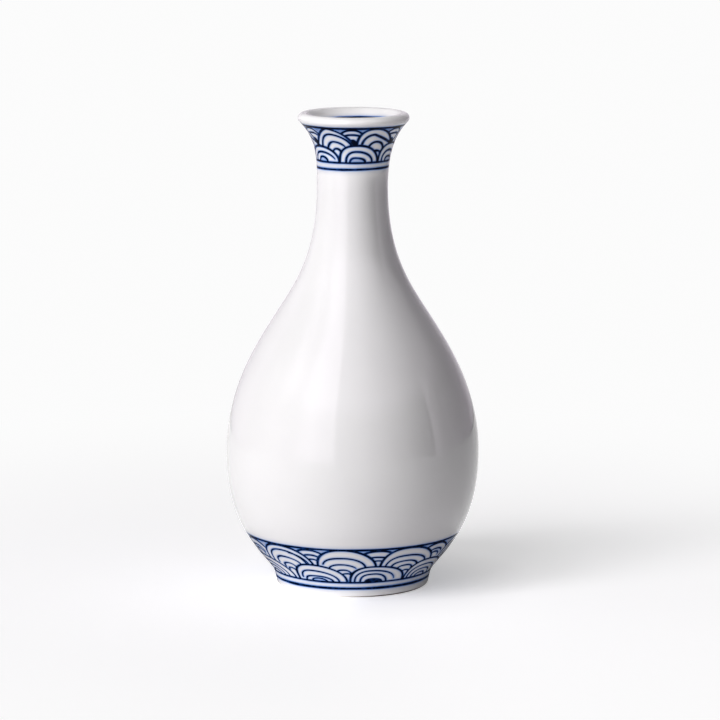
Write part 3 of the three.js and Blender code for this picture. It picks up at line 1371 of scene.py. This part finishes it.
@dataclass(frozen=True)
class Spot:
    """A narrow spot, whose brightness is how bright it makes white paper that faces it."""

    azimuth: float
    elevation: float
    brightness: float
    distance: float = 1.0
    radius: float = 24 * MM
    blend: float = 0.4
    lamp_radius: float = 4 * MM

    def light(self, mouth: bpy.types.Object, height: float) -> None:
        """Aims the spot at the bottle's mouth, and has it light nothing else.

        Args:
            mouth: the bottle's mouth.
            height: how high the lip is.
        """
        light = bpy.data.lights.new("mouth_spot", "SPOT")
        light.energy = 4 * math.pi**2 * self.distance**2 * self.brightness
        light.spot_size = 2 * math.atan(self.radius / self.distance)
        light.spot_blend = self.blend
        light.shadow_soft_size = self.lamp_radius
        azimuth, elevation = math.radians(self.azimuth), math.radians(self.elevation)
        lit = bpy.data.collections.new("lit_by_mouth_spot")
        lit.objects.link(mouth)
        hung = hang(light, height, azimuth, elevation, self.distance)
        hung.light_linking.receiver_collection = lit


@dataclass(frozen=True)
class Mirrored:
    """Something bright round the bottle, as its glaze mirrors it; angles are in degrees."""

    first_azimuth: float
    last_azimuth: float
    brightness: float
    first_blur: float
    last_blur: float
    lowest: float = -90.0
    highest: float = 60.0
    level_blur: float = 4.0

    def shining(self, nodes: Nodes, azimuth: Socket, elevation: Socket) -> Socket:
        """How bright it is in each direction.

        Args:
            nodes: the world's nodes.
            azimuth: the direction's azimuth in radians.
            elevation: the direction's height above the horizon in radians.

        Returns:
            Its brightness inside its stretch, which fades over the blur at each side.
        """
        sides = (
            (azimuth, self.first_azimuth, self.first_blur),
            (azimuth, self.last_azimuth, -self.last_blur),
            (elevation, self.lowest, self.level_blur),
            (elevation, self.highest, -self.level_blur),
        )
        amount = self.brightness
        for angle, place, blur in sides:
            outer, inner = math.radians(place - blur), math.radians(place + blur)
            share = nodes.add("MapRange", angle, outer, inner, **SOFT)["Result"]
            amount = nodes.add("Math", share, amount, operation="MULTIPLY")["Value"]
        return amount


@dataclass(frozen=True)
class Studio:
    """A pale paper floor, upright soft panels, two spots on the mouth and a plain room.

    Its ramps read metres: those of the shade and the glow to the right of the bottle's axis, and
    the others away from it.
    """

    panels: tuple[Panel, ...] = (
        Panel("softbox", -16.0, -46.0, 2.86),
        Panel("softbox_end", -46.0, -66.0, 6.2),
        Panel("side_panel", -67.0, -116.0, 0.3),
    )
    mirrored: tuple[Mirrored, ...] = (
        Mirrored(-16.0, 25.0, 0.82, 0.3, 15.0),  # pale wall
        Mirrored(25.0, 55.0, 0.25, 15.0, 8.0),  # grey wall
        Mirrored(-50.0, -16.0, 2.65, 10.0, 0.3),  # softbox
        Mirrored(-50.0, -16.0, 0.5, 10.0, 0.3, lowest=25.0),  # softbox's top
        Mirrored(-84.0, -50.0, 0.7, 10.0, 10.0),  # side panel
        Mirrored(-118.0, -84.0, 0.25, 6.0, 10.0),  # far panel
        Mirrored(-190.0, -118.0, 0.78, 1.0, 6.0),  # backdrop on the left
        Mirrored(81.0, 118.0, 0.75, 0.3, 10.0, highest=27.0),  # window
        Mirrored(81.0, 89.0, 0.6, 0.3, 6.0, highest=27.0),  # window's bright edge
        Mirrored(118.0, 150.0, 0.7, 10.0, 8.0),  # wall on the right
        Mirrored(-84.0, 118.0, 1.2, 10.0, 10.0, lowest=25.0, highest=80.0, level_blur=6.0),  # ceiling
        Mirrored(150.0, 190.0, 0.9, 8.0, 1.0),  # backdrop on the right
    )
    spots: tuple[Spot, ...] = (Spot(-60.0, 55.0, 0.13), Spot(40.0, 8.0, 0.12))
    ambient: float = 0.03
    ambient_tint: str = "f7eff9"
    room_gloss: float = 0.02
    floor_radius: float = 6.0
    floor_sides: int = 96
    floor_colour: str = "e3e1e4"
    floor_white: float = 0.97
    floor_fades: tuple[float, float] = (0.05, 0.3)
    contact_shadow_reach: float = 0.03
    contact_shadow_depth: float = 0.4
    contact_samples: int = 16
    shade: tuple[float, float] = (-0.004, 0.008)
    glow: Ramp = (-0.03, 0.06, 0.515, 0.572)
    lit_bounce: Ramp = (0.035, 0.055, 0.45, 0.03)
    shaded_bounce: Ramp = (0.05, 0.12, 0.16, 0.03)
    table_gloss: Ramp = (0.042, 0.065, 0.1, 0.92)
    table_centre: tuple[float, float, float] = (0.09, -0.06, 0.0)
    table_radius: float = 0.58
    table_rim: float = 0.045

    def camera(self) -> None:
        """Makes the camera."""
        data = bpy.data.cameras.new("camera")
        data.lens = CAMERA_LENS
        data.sensor_width = SENSOR_WIDTH
        camera = bpy.data.objects.new("camera", data)
        camera.location = CAMERA_PLACE
        camera.rotation_euler = (math.radians(90 - CAMERA_PITCH), 0, 0)
        bpy.context.scene.collection.objects.link(camera)
        bpy.context.scene.camera = camera

    def floor(self) -> None:
        """Lays the paper floor, which keeps the bottle's shadow and is plain white far from it."""
        bm = bmesh.new()
        bmesh.ops.create_circle(bm, cap_ends=True, segments=self.floor_sides, radius=self.floor_radius)
        mesh = bpy.data.meshes.new("floor")
        bm.to_mesh(mesh)
        bm.free()
        floor = bpy.data.objects.new("floor", mesh)
        bpy.context.scene.collection.objects.link(floor)
        material = bpy.data.materials.new("paper_sweep")
        self.paper(Nodes.of(material))
        mesh.materials.append(material)

    def paper(self, nodes: Nodes) -> None:
        """Makes the floor's matt paper, lifted for the camera near the bottle, with a painted contact shadow
        at the foot, and white past it.

        Args:
            nodes: the nodes of the floor's material.
        """
        rays = nodes.add("LightPath")
        seen = rays["Is Camera Ray"]
        place = nodes.add("TexCoord")["Object"]
        away = nodes.add("VectorMath", place, operation="LENGTH")["Value"]
        across = nodes.add("SeparateXYZ", place)["X"]
        shaded = nodes.add("MapRange", across, *self.shade, **SOFT)["Result"]

        # Painted contact shadow: near the foot, on the shaded right side, ambient occlusion dims the
        # camera's glow on the floor.
        contact = {"Distance": self.contact_shadow_reach, "samples": self.contact_samples}
        open_above = nodes.add("AmbientOcclusion", **contact)["AO"]
        contact_shadow_share = nodes.add("Math", shaded, self.contact_shadow_depth, operation="MULTIPLY")["Value"]
        glow_left_by_contact_shadow = nodes.add("Mix", contact_shadow_share, 1.0, open_above)["Result"]
        full_glow = nodes.add("MapRange", across, *self.glow, **SOFT)["Result"]
        glow = nodes.add("Math", glow_left_by_contact_shadow, full_glow, operation="MULTIPLY")["Value"]
        lit = nodes.add("MapRange", away, *self.lit_bounce, **SOFT)["Result"]
        shady = nodes.add("MapRange", away, *self.shaded_bounce, **SOFT)["Result"]
        bounce = nodes.add("Mix", shaded, lit, shady)["Result"]
        lift = nodes.add("Mix", seen, bounce, glow)["Result"]
        matt = nodes.add("BsdfDiffuse", linear(self.floor_colour))["BSDF"]
        lifted = nodes.add("Emission", Strength=lift)["Emission"]
        near = nodes.add("AddShader", matt, lifted)["Shader"]

        far = nodes.add("MapRange", away, *self.floor_fades, **SOFT)["Result"]
        white = nodes.add("Emission", Strength=self.floor_white)["Emission"]
        blank = nodes.add("Math", seen, far, operation="MULTIPLY")["Value"]
        whole = nodes.add("MixShader", blank, near, white)["Shader"]

        mirrored = nodes.add("MixShader", rays["Is Glossy Ray"], whole, self.table(nodes, place, away))
        nodes.add("OutputMaterial", mirrored["Shader"])

    def table(self, nodes: Nodes, place: Socket, away: Socket) -> Socket:
        """The floor as the glaze mirrors it: a small table, dim in the bottle's own shade.

        Args:
            nodes: the nodes of the floor's material.
            place: the Object coordinates.
            away: the distance from the bottle's axis.

        Returns:
            The surface's socket, clear past the table's edge.
        """
        reach = nodes.add("VectorMath", place, self.table_centre, operation="DISTANCE")["Value"]
        rim = self.table_radius - self.table_rim
        inside_rim = nodes.add("Math", reach, rim, operation="LESS_THAN")["Value"]
        gloss = nodes.add("MapRange", away, *self.table_gloss, **SOFT)["Result"]
        shine = nodes.add("Math", gloss, inside_rim, operation="MULTIPLY")["Value"]
        shining = nodes.add("Emission", Strength=shine)["Emission"]
        clear = nodes.add("BsdfTransparent")["BSDF"]
        past = nodes.add("Math", reach, self.table_radius, operation="GREATER_THAN")["Value"]
        return nodes.add("MixShader", past, shining, clear)["Shader"]

    def room(self) -> None:
        """Makes the world: white to the camera, dim as a light, and in the glaze the whole room."""
        world = bpy.data.worlds.new("room")
        bpy.context.scene.world = world
        nodes = Nodes.of(world)
        rays = nodes.add("LightPath")
        way = nodes.add("SeparateXYZ", nodes.add("TexCoord")["Generated"])
        forwards = nodes.add("Math", way["Y"], -1.0, operation="MULTIPLY")["Value"]
        azimuth = nodes.add("Math", way["X"], forwards, operation="ARCTAN2")["Value"]
        elevation = nodes.add("Math", way["Z"], operation="ARCSINE")["Value"]
        in_glaze = self.room_gloss
        for thing in self.mirrored:
            bright = thing.shining(nodes, azimuth, elevation)
            in_glaze = nodes.add("Math", bright, in_glaze, operation="ADD")["Value"]
        through = (rays["Is Camera Ray"], rays["Is Transmission Ray"])
        clear = nodes.add("Math", *through, operation="MAXIMUM")["Value"]
        lighting = nodes.add("Mix", rays["Is Glossy Ray"], self.ambient, in_glaze)["Result"]
        strength = nodes.add("Mix", clear, lighting, 1.0)["Result"]
        glow = nodes.add("Background", linear(self.ambient_tint), strength)["Background"]
        nodes.add("OutputWorld", glow)

    def build(self, mouth: bpy.types.Object, mouth_height: float) -> None:
        """Sets up the whole studio.

        Args:
            mouth: the bottle's mouth.
            mouth_height: how high its lip is.
        """
        self.camera()
        self.floor()
        self.room()
        for panel in self.panels:
            panel.light()
        for spot in self.spots:
            spot.light(mouth, mouth_height)
        bpy.context.scene.view_settings.view_transform = "Standard"


def main() -> None:
    """Builds the bottle section by section, then the studio."""
    logging.basicConfig(level=logging.INFO, format="%(name)s: %(message)s")
    body = Body.from_frame()
    sections = (
        FootRing(body),
        Bowl(body),
        PlainSection(body, "shoulder", body.belly_seam, body.root_seam),
        PlainSection(body, "neck", body.root_seam, body.neck_seam),
        Mouth(body),
    )
    pieces = [section.build() for section in sections]
    for piece in pieces:
        log.info("%s: %d faces", piece.name, len(piece.data.polygons))
    mouth = pieces[-1]
    Studio().build(mouth, body.top)


if __name__ == "__main__":
    main()
